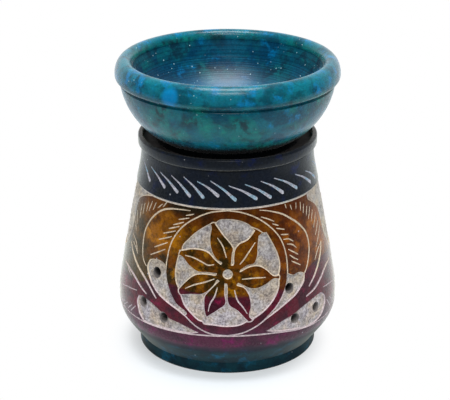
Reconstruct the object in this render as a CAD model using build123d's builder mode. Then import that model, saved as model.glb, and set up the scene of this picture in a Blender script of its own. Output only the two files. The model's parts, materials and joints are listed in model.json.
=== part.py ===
"""Turned soapstone essential oil burner with a loose oil dish and a tealight.

Millimetres, +Z up. The origin is the centre of the base, the carved front faces -Y
and the tealight door opens towards +Y.
"""

import os
from math import cos, radians, sin

from build123d import *

# Tealight: a pressed cup, its wax, its wick and the disc that holds the wick
cup_radius = 18.4
cup_height = 16.0
cup_wall = 0.4
cup_roll = 0.6
cup_base_round = 1.2
wax_clearance = 0.15
wax_height = 11.5
wax_dip = 0.6
wick_radius = 0.9
wick_stand = 6.0
wick_clearance = 0.1
sustainer_radius = 6.0
sustainer_thickness = 0.5
collar_wall = 0.5
collar_height = 3.5

# Dish: a flat foot, a round bowl, a groove and a rolled lip as wide as the body's belly
dish_height = 29.0
dish_foot_radius = 25.0
dish_foot_height = 2.3
bowl_bulge = 2.4
bowl_draw = 1.8
groove_depth = 0.5
groove_height = 1.4
lip_height = 7.3
lip_width = 6.1
lip_crown = 3.6
lip_foot_draw = 1.3
lip_low_height = 1.9
lip_inner_height = 3.0
basin_wall_height = 5.6
basin_wall_draw = 2.3
basin_floor = 5.0

# Body: the turned outside, from the foot up
foot_height = 4.2
foot_inset = 7.15
foot_chamfer = 0.6
foot_flare = (0.7, 1)
belly_rise = 15.5
belly_wall = 11.75
wall_rise = 54.3
band_rise = 41.6
band_draw = 6.9
neck_wall = 8.45
rim_height = 4.24
rim_wall = 1.5
rim_under = 0.9
rim_round = 0.7
rim_chamfer = 0.2
line_depth = 0.5
line_width = 1.1
lower_line_drop = 1.9

# Body: the chamber, the throat, the seat for the dish, the door and the vents
base_thickness = 8.0
chamber_clearance = 8.0
floor_clearance = 5.5
chamber_round = 3.0
throat_depth = 9.0
ledge_width = 3.5
recess_depth = 2.2
recess_clearance = 4.6
door_clearance = 2.0
door_side_height = 18.0
vent_radius = 1.5
vent_angles = (-50.0, -42.0, -35.0, 35.0, 37.0, 53.0)
vent_height_shares = (0.312, 0.466, 0.275, 0.41, 0.266, 0.277)

# Shares of the outline's stations between the belly and the neck
belly_round_share = 0.62
belly_round_draw_share = 0.095
lower_wall_share = 0.24
lower_wall_draw_share = 0.18
mid_wall_share = 0.62
mid_wall_draw_share = 0.55

# One overrun for every cut
overrun = 5.0

# Sizes that follow from the ones above
cup_flange_radius = cup_radius + cup_roll
chamber_radius = cup_flange_radius + chamber_clearance
floor_radius = cup_flange_radius + floor_clearance
belly_radius = chamber_radius + belly_wall
foot_radius = belly_radius - foot_inset
dish_radius = belly_radius
recess_radius = dish_foot_radius + recess_clearance
throat_radius = dish_foot_radius - ledge_width
rim_radius = recess_radius + rim_wall
neck_radius = throat_radius + neck_wall
belly_height = foot_height + belly_rise
band_height = belly_height + band_rise
band_radius = belly_radius - band_draw
neck_height = belly_height + wall_rise
body_height = neck_height + rim_height
seat_height = body_height - recess_depth
door_half_width = cup_flange_radius + door_clearance

os.makedirs("parts", exist_ok=True)


# Body of the burner: turned outside
with BuildPart() as burner_body:
    foot_edge = (foot_radius, foot_height)
    belly = (belly_radius, belly_height)
    belly_round = (
        belly_radius - foot_inset * belly_round_draw_share,
        foot_height + belly_rise * belly_round_share,
    )
    lower_wall = (
        belly_radius - band_draw * lower_wall_draw_share,
        belly_height + band_rise * lower_wall_share,
    )
    mid_wall = (
        belly_radius - band_draw * mid_wall_draw_share,
        belly_height + band_rise * mid_wall_share,
    )
    band = (band_radius, band_height)
    neck = (neck_radius, neck_height)
    rim_low = (rim_radius, neck_height + rim_under)
    rim_high = (rim_radius, body_height - rim_round)
    rim_top = (rim_radius - rim_round, body_height)
    with BuildSketch(Plane.XZ):
        with BuildLine():
            Line((0, 0), (foot_radius, 0))
            Line((foot_radius, 0), foot_edge)
            Spline(foot_edge, belly_round, belly, tangents=[foot_flare, (0, 1)])
            Spline(belly, lower_wall, mid_wall, band, neck, tangents=[(0, 1), (0, 1)])
            Polyline(neck, rim_low, rim_high)
            TangentArc(rim_high, rim_top, tangent=(0, 1))
            Line(rim_top, (0, body_height))
            Line((0, body_height), (0, 0))
        make_face()
    revolve(axis=Axis.Z)
    foot_rim = burner_body.edges().filter_by(GeomType.CIRCLE).sort_by(Axis.Z)[0]
    chamfer(foot_rim, length=foot_chamfer)

    # The chamber for the tealight, the throat above it and the seat for the dish
    throat_height = seat_height - throat_depth
    with BuildSketch(Plane.XZ):
        with BuildLine():
            Line((0, base_thickness), (floor_radius - chamber_round, base_thickness))
            Line((floor_radius - chamber_round, base_thickness), (floor_radius, base_thickness + chamber_round))
            Spline(
                (floor_radius, base_thickness + chamber_round),
                (chamber_radius, belly_height),
                (throat_radius, throat_height),
                tangents=[(0, 1), (0, 1)],
            )
            Line((throat_radius, throat_height), (throat_radius, seat_height))
            Line((throat_radius, seat_height), (recess_radius, seat_height))
            Polyline(
                (recess_radius, seat_height),
                (recess_radius, body_height - rim_chamfer),
                (recess_radius + rim_chamfer, body_height),
                (recess_radius + rim_chamfer, body_height + overrun),
                (0, body_height + overrun),
            )
            Line((0, body_height + overrun), (0, base_thickness))
        make_face()
    revolve(axis=Axis.Z, mode=Mode.SUBTRACT)

    # Two V-shaped turned lines frame the carved zone
    lower_line = (belly_radius, belly_height - lower_line_drop)
    for line_radius, line_height in (lower_line, band):
        with BuildSketch(Plane.XZ):
            with BuildLine():
                Polyline(
                    (line_radius - line_depth, line_height),
                    (line_radius + line_depth, line_height - line_width),
                    (line_radius + line_depth, line_height + line_width),
                    close=True,
                )
            make_face()
        revolve(axis=Axis.Z, mode=Mode.SUBTRACT)

    # The arched door at the back, level with the chamber's floor
    with BuildSketch(Plane.XZ):
        with BuildLine():
            Line((-door_half_width, base_thickness), (door_half_width, base_thickness))
            Line((door_half_width, base_thickness), (door_half_width, base_thickness + door_side_height))
            ThreePointArc(
                (door_half_width, base_thickness + door_side_height),
                (0, base_thickness + door_side_height + door_half_width),
                (-door_half_width, base_thickness + door_side_height),
            )
            Line((-door_half_width, base_thickness + door_side_height), (-door_half_width, base_thickness))
        make_face()
    extrude(amount=-(belly_radius + overrun), mode=Mode.SUBTRACT)

    # Vents drilled through the wall from the front
    for angle, height_share in zip(vent_angles, vent_height_shares):
        outward = (sin(radians(angle)), -cos(radians(angle)), 0)
        with BuildSketch(Plane(origin=(0, 0, body_height * height_share), z_dir=outward)):
            Circle(vent_radius)
        extrude(amount=belly_radius + overrun, mode=Mode.SUBTRACT)

burner_body.part.label = "burner_body"
export_step(burner_body.part, "parts/burner_body.step")


# Dish: turned bowl with a rolled lip, standing on the seat inside the rim
with BuildPart() as oil_dish:
    dish_top = seat_height + dish_height
    lip_base = dish_top - lip_height
    lip_widest = lip_base + lip_low_height
    lip_crown_radius = dish_radius - lip_crown
    lip_inner_radius = dish_radius - lip_width
    lip_foot_radius = dish_radius - lip_foot_draw
    lip_inner_base = dish_top - lip_inner_height
    bowl_top_radius = dish_radius - bowl_draw
    basin_ring_radius = lip_inner_radius - basin_wall_draw
    basin_ring_height = lip_inner_base - basin_wall_height
    basin_height = seat_height + basin_floor
    bowl_start = (dish_foot_radius, seat_height + dish_foot_height)
    bowl_end = (bowl_top_radius, lip_base - groove_height)
    groove = (bowl_top_radius - groove_depth, lip_base - groove_height / 2)
    with BuildSketch(Plane.XZ):
        with BuildLine():
            Line((0, seat_height), (dish_foot_radius, seat_height))
            Line((dish_foot_radius, seat_height), bowl_start)
            SagittaArc(bowl_start, bowl_end, -bowl_bulge)
            Polyline(bowl_end, groove, (lip_foot_radius, lip_base))
            EllipticalCenterArc(
                (lip_foot_radius, lip_widest),
                dish_radius - lip_foot_radius,
                lip_widest - lip_base,
                start_angle=-90,
                arc_size=90,
            )
            EllipticalCenterArc(
                (lip_crown_radius, lip_widest),
                dish_radius - lip_crown_radius,
                dish_top - lip_widest,
                start_angle=0,
                arc_size=90,
            )
            EllipticalCenterArc(
                (lip_crown_radius, lip_inner_base),
                lip_crown_radius - lip_inner_radius,
                dish_top - lip_inner_base,
                start_angle=90,
                arc_size=90,
            )
            Line((lip_inner_radius, lip_inner_base), (basin_ring_radius, basin_ring_height))
            TangentArc((0, basin_height), (basin_ring_radius, basin_ring_height), tangent=(1, 0))
            Line((0, basin_height), (0, seat_height))
        make_face()
    revolve(axis=Axis.Z)

oil_dish.part.label = "oil_dish"
export_step(oil_dish.part, "parts/oil_dish.step")


# Tealight cup: drawn from one sheet, with a rolled edge
with BuildPart() as tealight_cup:
    cup_top = base_thickness + cup_height
    cup_floor = base_thickness + cup_wall
    with BuildSketch(Plane.XZ):
        with BuildLine():
            Line((0, base_thickness), (cup_radius - cup_base_round, base_thickness))
            TangentArc(
                (cup_radius - cup_base_round, base_thickness),
                (cup_radius, base_thickness + cup_base_round),
                tangent=(1, 0),
            )
            Line((cup_radius, base_thickness + cup_base_round), (cup_radius, cup_top - 2 * cup_roll))
            ThreePointArc(
                (cup_radius, cup_top - 2 * cup_roll),
                (cup_flange_radius, cup_top - cup_roll),
                (cup_radius, cup_top),
            )
            Line((cup_radius, cup_top), (cup_radius - cup_wall, cup_top))
            Line((cup_radius - cup_wall, cup_top), (cup_radius - cup_wall, base_thickness + cup_base_round))
            TangentArc(
                (cup_radius - cup_base_round, cup_floor),
                (cup_radius - cup_wall, base_thickness + cup_base_round),
                tangent=(1, 0),
            )
            Line((cup_radius - cup_base_round, cup_floor), (0, cup_floor))
            Line((0, cup_floor), (0, base_thickness))
        make_face()
    revolve(axis=Axis.Z)

tealight_cup.part.label = "tealight_cup"
export_step(tealight_cup.part, "parts/tealight_cup.step")


# Sustainer: a thin disc on the cup's floor with a collar round the wick
collar_inner_radius = wick_radius + wick_clearance
collar_radius = collar_inner_radius + collar_wall
collar_top = cup_floor + sustainer_thickness + collar_height
with BuildPart() as wick_sustainer:
    with BuildSketch(Plane.XY.offset(cup_floor)):
        Circle(sustainer_radius)
    extrude(amount=sustainer_thickness)
    with BuildSketch(Plane.XY.offset(cup_floor + sustainer_thickness)):
        Circle(collar_radius)
        Circle(collar_inner_radius, mode=Mode.SUBTRACT)
    extrude(amount=collar_height)

wick_sustainer.part.label = "wick_sustainer"
export_step(wick_sustainer.part, "parts/wick_sustainer.step")


# Wick: a round cord that stands on the disc and rises out of the wax
wick_base = cup_floor + sustainer_thickness
wax_top = cup_floor + wax_height
with BuildPart() as tealight_wick:
    with BuildSketch(Plane.XY.offset(wick_base)):
        Circle(wick_radius)
    extrude(amount=wax_top + wick_stand - wick_base)
    wick_tip = tealight_wick.edges().sort_by(Axis.Z)[-1]
    fillet(wick_tip, radius=wick_radius / 2)

tealight_wick.part.label = "tealight_wick"
export_step(tealight_wick.part, "parts/tealight_wick.step")


# Wax: cast in the cup round the disc, the collar and the wick, and dished on top
with BuildPart() as tealight_wax:
    wax_radius = cup_radius - cup_wall - wax_clearance
    wax_base_radius = cup_radius - cup_base_round - wax_clearance
    wax_wall_base = base_thickness + cup_base_round + wax_clearance
    with BuildSketch(Plane.XZ):
        with BuildLine():
            Line((0, cup_floor), (wax_base_radius, cup_floor))
            Line((wax_base_radius, cup_floor), (wax_radius, wax_wall_base))
            Line((wax_radius, wax_wall_base), (wax_radius, wax_top))
            TangentArc((0, wax_top - wax_dip), (wax_radius, wax_top), tangent=(1, 0))
            Line((0, wax_top - wax_dip), (0, cup_floor))
        make_face()
    revolve(axis=Axis.Z)
    with BuildSketch(Plane.XY.offset(cup_floor)):
        Circle(sustainer_radius + wick_clearance)
    extrude(amount=sustainer_thickness + wick_clearance, mode=Mode.SUBTRACT)
    with BuildSketch(Plane.XY.offset(cup_floor)):
        Circle(collar_radius + wick_clearance)
    extrude(amount=collar_top + wick_clearance - cup_floor, mode=Mode.SUBTRACT)
    with BuildSketch(Plane.XY.offset(cup_floor)):
        Circle(wick_radius + wick_clearance)
    extrude(amount=wax_height + overrun, mode=Mode.SUBTRACT)

tealight_wax.part.label = "tealight_wax"
export_step(tealight_wax.part, "parts/tealight_wax.step")
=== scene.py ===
# %% [markdown]
# # An essential oil burner in dyed, carved soapstone
# The burner is turned on a lathe from one block of soft stone. It is dyed in zones, waxed,
# and then cut through the dye with a graver, so that the pale stone shows. A loose dish
# stands in its open top, and a tealight burns in the chamber behind the carved front.
# The CAD model fixes every size. This script gives each piece its fine shape and finish.

import json
import math

import bmesh
import bpy
import numpy as np
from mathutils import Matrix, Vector
from mathutils.geometry import delaunay_2d_cdt

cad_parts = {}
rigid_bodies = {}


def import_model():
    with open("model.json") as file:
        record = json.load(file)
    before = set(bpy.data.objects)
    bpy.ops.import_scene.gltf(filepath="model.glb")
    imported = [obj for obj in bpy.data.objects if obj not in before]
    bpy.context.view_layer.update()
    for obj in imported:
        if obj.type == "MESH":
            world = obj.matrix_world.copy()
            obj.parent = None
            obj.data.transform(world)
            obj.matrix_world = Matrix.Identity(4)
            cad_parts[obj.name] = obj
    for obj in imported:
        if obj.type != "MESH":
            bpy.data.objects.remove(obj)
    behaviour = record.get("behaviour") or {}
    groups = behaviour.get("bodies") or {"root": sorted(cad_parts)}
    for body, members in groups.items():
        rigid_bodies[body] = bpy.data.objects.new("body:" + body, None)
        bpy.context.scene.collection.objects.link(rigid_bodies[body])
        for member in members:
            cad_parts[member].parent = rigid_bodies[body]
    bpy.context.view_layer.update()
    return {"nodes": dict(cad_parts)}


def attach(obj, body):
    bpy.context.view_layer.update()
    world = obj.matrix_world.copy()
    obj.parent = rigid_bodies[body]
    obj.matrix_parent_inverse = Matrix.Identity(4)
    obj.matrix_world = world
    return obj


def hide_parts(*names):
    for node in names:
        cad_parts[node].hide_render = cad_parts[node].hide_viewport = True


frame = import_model()
scene = bpy.context.scene
MM = 0.001


def put_in_scene(name, data):
    """A new object with its data, linked to the scene."""
    thing = bpy.data.objects.new(name, data)
    scene.collection.objects.link(thing)
    return thing


print("CAD nodes:", sorted(frame["nodes"]))

# %% [markdown]
# ## Camera
# The photograph looks down at the front by about 21 degrees from half a metre away. A long
# lens keeps the rings of the dish and of the rim as flat as they are there. The camera was
# found by fitting these rings, so its place and lens are given as plain numbers.

# %% Camera
camera_data = bpy.data.cameras.new("studio_camera")
camera_data.sensor_width = 36.0
camera_data.lens = 127.91
camera_data.clip_start = 0.01
camera = put_in_scene("studio_camera", camera_data)
camera.location = (-0.0009, -0.52675, 0.25722)
camera.rotation_euler = (math.radians(68.743), 0.0, 0.0)
scene.camera = camera
print("camera at", tuple(round(c, 4) for c in camera.location))

# %% [markdown]
# ## Helpers for materials
# Every finish is a tree of shader nodes. Small helpers keep the trees readable. They place a
# node and wire its inputs, mix colours, do sums and lay noise. One turns the colour that an
# eye reads on a screen into the linear numbers that Blender works with.


# %% Material helpers
def tint(red, green, blue):
    """A screen colour from 0 to 255 as Blender's linear colour."""
    linear = []
    for share in (red / 255, green / 255, blue / 255):
        linear.append(share / 12.92 if share <= 0.04045 else ((share + 0.055) / 1.055) ** 2.4)
    return (*linear, 1.0)


def wire(tree, socket, value):
    """Link a socket to another, or set its value."""
    if isinstance(value, bpy.types.NodeSocket):
        tree.links.new(value, socket)
    else:
        socket.default_value = value


def dress(tree, node, **inputs):
    """Link or set inputs by name, with _ for a space in the name."""
    for name, value in inputs.items():
        wire(tree, node.inputs[name.replace("_", " ")], value)


def place(tree, kind, settings=None, **inputs):
    """A new node with its settings and inputs."""
    node = tree.nodes.new(kind)
    for name, value in (settings or {}).items():
        setattr(node, name, value)
    dress(tree, node, **inputs)
    return node


def blend(tree, factor, first, second, how="MIX"):
    """Two colours mixed by a factor."""
    node = place(tree, "ShaderNodeMix", {"data_type": "RGBA", "blend_type": how})
    wire(tree, node.inputs[0], factor)
    wire(tree, node.inputs[6], first)
    wire(tree, node.inputs[7], second)
    return node.outputs[2]


def sums(tree, operation, first, second=0.0):
    """One step of arithmetic on values."""
    node = place(tree, "ShaderNodeMath", {"operation": operation})
    wire(tree, node.inputs[0], first)
    wire(tree, node.inputs[1], second)
    return node.outputs[0]


def times(tree, first, second):
    """Two values multiplied, as when one mask limits another."""
    return sums(tree, "MULTIPLY", first, second)


def rise(tree, value, low, high, start=0.0, end=1.0):
    """A smooth step of a value from low to high."""
    node = place(tree, "ShaderNodeMapRange", {"interpolation_type": "SMOOTHSTEP"}, Value=value)
    dress(tree, node, From_Min=low, From_Max=high, To_Min=start, To_Max=end)
    return node.outputs["Result"]


def noise(tree, where, scale, detail=2.0, roughness=0.5, distortion=0.0):
    """Cloudy noise from 0 to 1."""
    node = place(tree, "ShaderNodeTexNoise", Vector=where, Scale=scale)
    dress(tree, node, Detail=detail, Roughness=roughness, Distortion=distortion)
    return node.outputs["Fac"]


def split(tree, where):
    """The X, Y and Z of a place."""
    return place(tree, "ShaderNodeSeparateXYZ", Vector=where).outputs


def length(tree, where):
    """How far a place is from the origin."""
    return place(tree, "ShaderNodeVectorMath", {"operation": "LENGTH"}, Vector=where).outputs["Value"]


def from_axis(tree, axes):
    """How far a place is from the turning axis."""
    return length(tree, place(tree, "ShaderNodeCombineXYZ", X=axes["X"], Y=axes["Y"]).outputs[0])


def relief(tree, height, strength, distance):
    """A normal bent by a height, for fine texture."""
    return place(tree, "ShaderNodeBump", Height=height, Strength=strength, Distance=distance).outputs[0]


def new_group(name, outputs, colours=(), **values):
    """An empty node group that takes a place, colours and values; returns it with its ends."""
    group = bpy.data.node_groups.new(name, "ShaderNodeTree")
    sockets = [("Vector", "Vector"), *((title, "Color") for title in colours)]
    for title, kind in sockets:
        group.interface.new_socket(title, in_out="INPUT", socket_type="NodeSocket" + kind)
    for title, value in values.items():
        title = title.replace("_", " ")
        socket = group.interface.new_socket(title, in_out="INPUT", socket_type="NodeSocketFloat")
        socket.default_value = value
    for title in outputs:
        kind = "Color" if title == "Color" else "Float"
        group.interface.new_socket(title, in_out="OUTPUT", socket_type="NodeSocket" + kind)
    given, result = group.nodes.new("NodeGroupInput"), group.nodes.new("NodeGroupOutput")
    return group, given.outputs, result.inputs


def use_group(tree, group, **inputs):
    """A group placed in a tree; returns its outputs."""
    return place(tree, "ShaderNodeGroup", {"node_tree": group}, **inputs).outputs


def new_material(name):
    """A material with its tree, its surface shader and the place on the piece in metres."""
    material = bpy.data.materials.new(name)
    material.use_nodes = True
    tree = material.node_tree
    shader = tree.nodes["Principled BSDF"]
    where = place(tree, "ShaderNodeTexCoord").outputs["Object"]
    return material, tree, shader, where


print("helpers ready")

# %% [markdown]
# ## Floor and studio light
# The burner stands on a small white sheet under a large softbox. A second, narrow softbox in
# front draws the bright streak on the lip. The world lights the shadows evenly. What shiny
# stone mirrors is set apart from that: white behind the burner and dim towards the camera, as
# in a real studio. Rays from the camera see plain white, and the sheet keeps a soft shadow.

# %% Floor and light
SHADOW_SHIFT, SHADOW_STRETCH = (3 * MM, 4 * MM, 0), (1.22, 1, 1)
SHADOW_RADIUS = 31 * MM
SHADOW_FADE = 51 * MM
SHADOW_LIGHT = 0.42
LIGHT_TARGET = Vector((0, 0, 0.05))

floor_mesh = bpy.data.meshes.new("floor")
floor_corners = [(-0.4, -0.12, 0), (0.4, -0.12, 0), (0.4, 0.6, 0), (-0.4, 0.6, 0)]
floor_mesh.from_pydata(floor_corners, [], [(0, 1, 2, 3)])
floor = put_in_scene("floor", floor_mesh)

floor_material, tree, shader, where = new_material("white_sheet")
dress(tree, shader, Base_Color=(0.80, 0.90, 0.97, 1.0), Roughness=0.9, Specular_IOR_Level=0.1)
ray = place(tree, "ShaderNodeLightPath").outputs
seen = sums(tree, "MAXIMUM", ray["Is Camera Ray"], ray["Is Transmission Ray"])
seen = sums(tree, "MAXIMUM", seen, times(tree, ray["Is Glossy Ray"], 0.3))
shadow = place(tree, "ShaderNodeMapping", Vector=where, Location=SHADOW_SHIFT, Scale=SHADOW_STRETCH)
distance = length(tree, shadow.outputs[0])
far = times(tree, seen, rise(tree, distance, SHADOW_RADIUS, SHADOW_FADE, SHADOW_LIGHT))
white = place(tree, "ShaderNodeEmission", Color=(1, 1, 1, 1), Strength=1.0)
sheet = place(tree, "ShaderNodeMixShader", Fac=far)
tree.links.new(shader.outputs[0], sheet.inputs[1])
tree.links.new(white.outputs[0], sheet.inputs[2])
tree.links.new(sheet.outputs[0], tree.nodes["Material Output"].inputs["Surface"])
floor_mesh.materials.append(floor_material)

world = bpy.data.worlds.new("studio")
scene.world = world
world.use_nodes = True
tree = world.node_tree
ray = place(tree, "ShaderNodeLightPath").outputs
plain = sums(tree, "MAXIMUM", ray["Is Camera Ray"], ray["Is Transmission Ray"])
direction = place(tree, "ShaderNodeTexCoord").outputs["Generated"]
aim = split(tree, direction)
mirrored = rise(tree, aim["Y"], 0.0, 0.85, 0.04, 1.0)
around = place(tree, "ShaderNodeMix")
wire(tree, around.inputs[0], ray["Is Glossy Ray"])
around.inputs[2].default_value = 0.5
wire(tree, around.inputs[3], mirrored)
strength = sums(tree, "MAXIMUM", around.outputs[0], plain)
dress(tree, tree.nodes["Background"], Color=(1, 1, 1, 1), Strength=strength)


def softbox(name, width, depth, power, location):
    """An area light that faces the middle of the burner."""
    data = bpy.data.lights.new(name, "AREA")
    data.shape = "RECTANGLE"
    data.size, data.size_y, data.energy = width, depth, power
    lamp = put_in_scene(name, data)
    lamp.location = location
    lamp.rotation_euler = (LIGHT_TARGET - lamp.location).to_track_quat("-Z", "Y").to_euler()


softbox("softbox_above", 0.6, 0.5, 10.6, (0.0, -0.05, 1.1))
softbox("softbox_front", 0.42, 0.16, 2.6, (0.02, -0.62, 0.8))
scene.view_settings.view_transform = "Standard"
print("floor, world and two softboxes set")

# %% [markdown]
# ## Shared finishes
# Several pieces share effects, so each effect is one node group with its own values in each
# material. Marbled dye is soft stone soaking up colour unevenly. Stone specks are grains
# that take no dye. Stipple is the mark of the point that sinks a carved ground. Turned
# lines are the fine rings that a lathe tool leaves.

# %% Node groups
TONES = ["Base", "Shade", "Blotch"]
marbled_dye, given, result = new_group(
    "marbled_dye", ["Color"], TONES, Scale=60.0, Shade_Share=0.45, Blotch_Share=0.3
)
tree = marbled_dye
clouds = noise(tree, given["Vector"], given["Scale"], 5.0, 0.62, 0.6)
shift = place(tree, "ShaderNodeVectorMath", {"operation": "ADD"}, Vector=given["Vector"])
shift.inputs[1].default_value = (0.37, 0.11, 0.23)
patches = noise(tree, shift.outputs[0], times(tree, given["Scale"], 1.35), 6.0, 0.66)


def soaked(tree, cloud, share, softness):
    """The places where a cloud is thick enough for a tone to take up its share."""
    edge = sums(tree, "SUBTRACT", 0.72, times(tree, share, 0.44))
    return rise(tree, cloud, sums(tree, "SUBTRACT", edge, softness), sums(tree, "ADD", edge, 0.09))


shaded = soaked(tree, clouds, given["Shade Share"], 0.09)
blotched = soaked(tree, patches, given["Blotch Share"], 0.07)
colour = blend(tree, shaded, given["Base"], given["Shade"])
colour = blend(tree, blotched, colour, given["Blotch"])
fine = noise(tree, given["Vector"], times(tree, given["Scale"], 14.0))
level = rise(tree, fine, 0.3, 0.7, 0.82, 1.14)
grey = place(tree, "ShaderNodeCombineColor", Red=level, Green=level, Blue=level).outputs[0]
tree.links.new(blend(tree, 1.0, colour, grey, "MULTIPLY"), result["Color"])

stone_specks, given, result = new_group("stone_specks", ["Mask"], Scale=700.0, Share=0.06, Size=0.28)
tree = stone_specks
cells = place(tree, "ShaderNodeTexVoronoi", Vector=given["Vector"], Scale=given["Scale"])
pick = place(tree, "ShaderNodeSeparateColor", Color=cells.outputs["Color"]).outputs
chosen = sums(tree, "LESS_THAN", pick["Red"], given["Share"])
speck_size = times(tree, given["Size"], sums(tree, "ADD", pick["Green"], 0.35))
grain = rise(tree, cells.outputs["Distance"], speck_size, times(tree, speck_size, 0.55))
tree.links.new(times(tree, chosen, grain), result["Mask"])

stipple, given, result = new_group("stipple", ["Pits", "Mottle"], Scale=900.0)
tree = stipple
dots = place(tree, "ShaderNodeTexVoronoi", {"feature": "SMOOTH_F1"}, Vector=given["Vector"])
dress(tree, dots, Scale=given["Scale"], Smoothness=0.35)
dust = noise(tree, given["Vector"], times(tree, given["Scale"], 0.55), 5.0, 0.7)
tree.links.new(times(tree, dots.outputs["Distance"], dust), result["Pits"])
tree.links.new(dust, result["Mottle"])

turned_lines, given, result = new_group("turned_lines", ["Height"], Scale=900.0)
tree = turned_lines
axes = split(tree, given["Vector"])
ring_place = place(tree, "ShaderNodeCombineXYZ", X=from_axis(tree, axes), Z=axes["Z"]).outputs[0]
tree.links.new(noise(tree, ring_place, given["Scale"], 3.0, 0.7), result["Height"])
print("node groups:", [group.name for group in bpy.data.node_groups])

# %% [markdown]
# ## The turned outline
# The lathe gives the body its outline: a foot, a belly, a wall that leans in, and a thin ring
# at the rim. Smooth curves through a few stations of height and radius describe the belly, the
# wall and the chamber that is hollowed out behind it. All sizes are in millimetres until the
# mesh is made.


# %% Outline curves
def smooth_stations(stations, first_slope, last_slope):
    """The radius as a smooth function of height through (height, radius) stations."""
    heights, radii = np.array(stations, float).T
    gaps = np.diff(heights)
    steps = np.diff(radii) / gaps
    system = np.eye(len(heights))
    known = np.zeros(len(heights))
    known[0], known[-1] = first_slope, last_slope
    for i in range(1, len(heights) - 1):
        near, next_gap = 1 / gaps[i - 1], 1 / gaps[i]
        system[i, i - 1 : i + 2] = near, 2 * (near + next_gap), next_gap
        known[i] = 3 * (steps[i - 1] * near + steps[i] * next_gap)
    slopes = np.linalg.solve(system, known)

    def radius(height):
        i = np.clip(np.searchsorted(heights, height) - 1, 0, len(gaps) - 1)
        t = (height - heights[i]) / gaps[i]
        bend = t * (1 - t) * gaps[i]
        base = radii[i] + (3 - 2 * t) * t * t * (radii[i + 1] - radii[i])
        return base + bend * ((1 - t) * slopes[i] - t * slopes[i + 1])

    return radius


FOOT_RADIUS, FOOT_HEIGHT = 31.6, 4.2
BELLY_RADIUS, BELLY_HEIGHT = 38.75, 19.7
NECK_RADIUS, NECK_HEIGHT = 29.95, 74.0
CHAMBER_LOW, THROAT_HEIGHT, THROAT_RADIUS = 11.0, 67.0, 21.5
belly_stations = [(FOOT_HEIGHT, FOOT_RADIUS), (13.81, 38.07), (BELLY_HEIGHT, BELLY_RADIUS)]
belly_curve = smooth_stations(belly_stations, 0.7, 0)
lean_stations = [(BELLY_HEIGHT, BELLY_RADIUS), (29.68, 37.51), (45.49, 34.96), (61.3, 31.85)]
lean_stations += [(NECK_HEIGHT, NECK_RADIUS)]
lean_curve = smooth_stations(lean_stations, 0, 0)
chamber_stations = [(CHAMBER_LOW, 24.5), (BELLY_HEIGHT, 27.0), (THROAT_HEIGHT, THROAT_RADIUS)]
chamber_curve = smooth_stations(chamber_stations, 0, 0)


def wall_radius(height):
    """The radius of the uncut wall at a height."""
    height = np.asarray(height, float)
    return np.where(height < BELLY_HEIGHT, belly_curve(height), lean_curve(height))


print("wall radius at 10, 40 and 70 mm:", wall_radius([10, 40, 70]).round(2))

# %% [markdown]
# ## The carver's drawing
# The ornament is drawn flat, as a carver would on paper round the wall: x runs along the
# wall from the middle of the front, y runs up from the flower's centre. There are two kinds
# of cut. A sunk ground is taken down inside an outline. A graver stroke is a groove along a
# line that swells and thins. Both are smooth curves through a few points.

# %% Drawing tools
UNROLL = 36.4
HALF_TURN = UNROLL * math.pi
FLOWER_HEIGHT = 39.5
POINT_STEP = 0.55
carvings = []


def curve_through(points):
    """A smooth line through the points, sampled about every POINT_STEP."""
    points = np.array(points, float)
    gaps = np.linalg.norm(np.diff(points, axis=0), axis=1)
    slopes = np.diff(points, axis=0) / gaps[:, None]
    tangents = np.vstack([slopes[:1], slopes[1:], slopes[-1:]])
    for i in range(1, len(gaps)):
        share = gaps[i - 1] / (gaps[i - 1] + gaps[i])
        tangents[i] = (1 - share) * slopes[i - 1] + share * slopes[i]
    line = []
    for i, gap in enumerate(gaps):
        count = max(1, math.ceil(gap / POINT_STEP))
        t = (np.arange(count) / count)[:, None]
        start, end = points[i], points[i + 1]
        bend = t * (1 - t) * gap * ((1 - t) * tangents[i] - t * tangents[i + 1])
        line.append(start + (3 - 2 * t) * t * t * (end - start) + bend)
    return np.vstack([*line, points[-1:]])


def sink(*runs):
    """Ground sunk inside smooth runs that meet in corners; each starts where the last one ends."""
    starts = [runs[-1][-1], *[run[-1] for run in runs[:-1]]]
    outline = [curve_through([start, *run])[:-1] for start, run in zip(starts, runs)]
    carvings.append(("ground", np.vstack(outline), None))


def cut(points, *widths):
    """A graver stroke whose width goes through the given widths along it."""
    line = curve_through(points)
    along = np.concatenate([[0], np.cumsum(np.linalg.norm(np.diff(line, axis=0), axis=1))])
    half = np.interp(along / along[-1], np.linspace(0, 1, len(widths)), widths) / 2
    heading = np.gradient(line, axis=0)
    heading /= np.linalg.norm(heading, axis=1)[:, None]
    across = np.column_stack([-heading[:, 1], heading[:, 0]])
    swing = np.radians([60, 30, 0, -30, -60])[:, None]
    end_cap = line[-1] + half[-1] * (np.cos(swing) * heading[-1] + np.sin(swing) * across[-1])
    start_cap = line[0] + half[0] * (-np.cos(swing) * heading[0] - np.sin(swing) * across[0])
    left, right = line + across * half[:, None], line - across * half[:, None]
    carvings.append(("line", np.vstack([left, end_cap, right[::-1], start_cap]), line))


def behind(points):
    """The same points mirrored to the back, across the middle of the side they are on."""
    points = np.array(points, float)
    points[:, 0] = math.copysign(HALF_TURN, points[:, 0].sum()) - points[:, 0]
    return points


def sink_twice(*runs):
    """Sunk ground on the front and mirrored on the back."""
    sink(*runs)
    sink(*[behind(run) for run in runs])


def cut_twice(points, *widths):
    """A stroke on the front and mirrored on the back."""
    cut(points, *widths)
    cut(behind(points), *widths)


print("one turn of the wall is", round(2 * HALF_TURN, 1), "mm on the drawing")

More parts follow.
